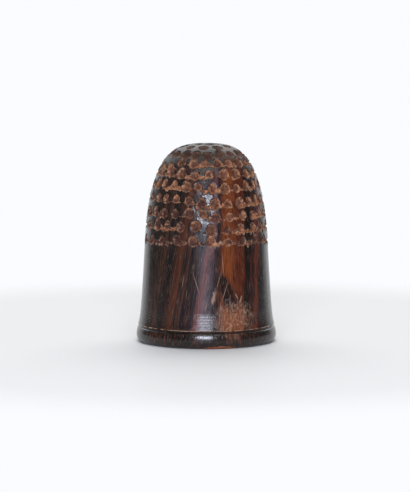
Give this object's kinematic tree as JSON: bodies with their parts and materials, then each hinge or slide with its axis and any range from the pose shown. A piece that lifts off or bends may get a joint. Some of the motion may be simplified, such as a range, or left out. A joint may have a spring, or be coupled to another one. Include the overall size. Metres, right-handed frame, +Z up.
{
  "type": "thimble",
  "caption": "Turned hardwood sewing thimble: hollow cup with a domed, pitted crown, smooth skirt, scribed line and rounded foot bead.",
  "frame": {"origin": "middle of the foot, at the level of the surface that the thimble stands on", "axes": "+Z up along the turning axis, towards the crown; -Y is the front"},
  "size_m": [0.02, 0.02, 0.0283],
  "materials": {
    "polished_hardwood": "hand-polished dark striped hardwood, with bare wood in the pits"
  },
  "bodies": {
    "root": {"thimble_body": "polished_hardwood"}
  },
  "joints": []
}
